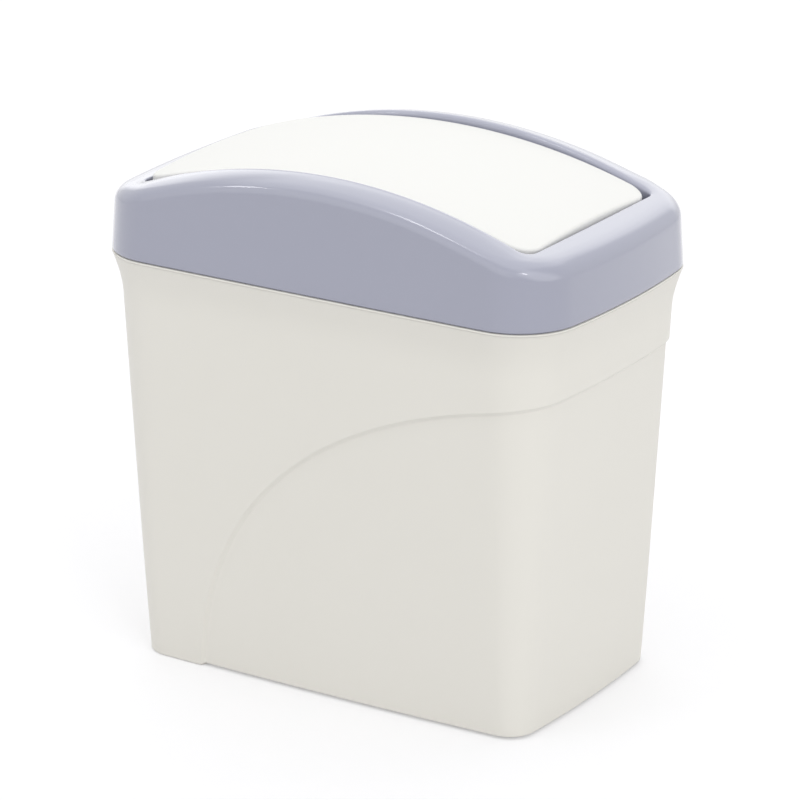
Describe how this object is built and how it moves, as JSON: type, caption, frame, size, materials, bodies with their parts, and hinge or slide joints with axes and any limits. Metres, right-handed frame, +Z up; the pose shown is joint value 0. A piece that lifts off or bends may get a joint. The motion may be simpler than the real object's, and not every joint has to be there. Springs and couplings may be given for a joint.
{
  "type": "desktop trash can",
  "caption": "Small tapered desk bin with a lift-off arched cover ring and a white arched flap that rocks on side pivots and swings level by its own weight.",
  "frame": {"origin": "on the table under the middle of the bucket", "axes": "+X along the length towards the end with the sunk panel, +Y towards the rear long side, +Z up"},
  "size_m": [0.2134, 0.1292, 0.2147],
  "materials": {
    "bucket_cream": "fine satin moulded polypropylene, warm cream",
    "cover_lavender": "glossy moulded polypropylene, pale lavender grey",
    "flap_white": "satin moulded polypropylene, warm white",
    "pin_white": "satin moulded acetal, white"
  },
  "bodies": {
    "bucket": {"bin_body": "bucket_cream"},
    "cover": {"lid_frame": "cover_lavender"},
    "flap": {"swing_flap": "flap_white", "pivot_pin_front": "pin_white", "pivot_pin_rear": "pin_white"}
  },
  "joints": [
    {"name": "cover_lift", "type": "slide", "parent": "bucket", "child": "cover", "axis": [0, 0, 1], "range_m": [0, 0.06]},
    {"name": "flap_swing", "type": "hinge", "parent": "cover", "child": "flap", "pos_m": [0, 0, 0.2087], "axis": [0, 1, 0], "range_deg": [-88, 88]}
  ]
}
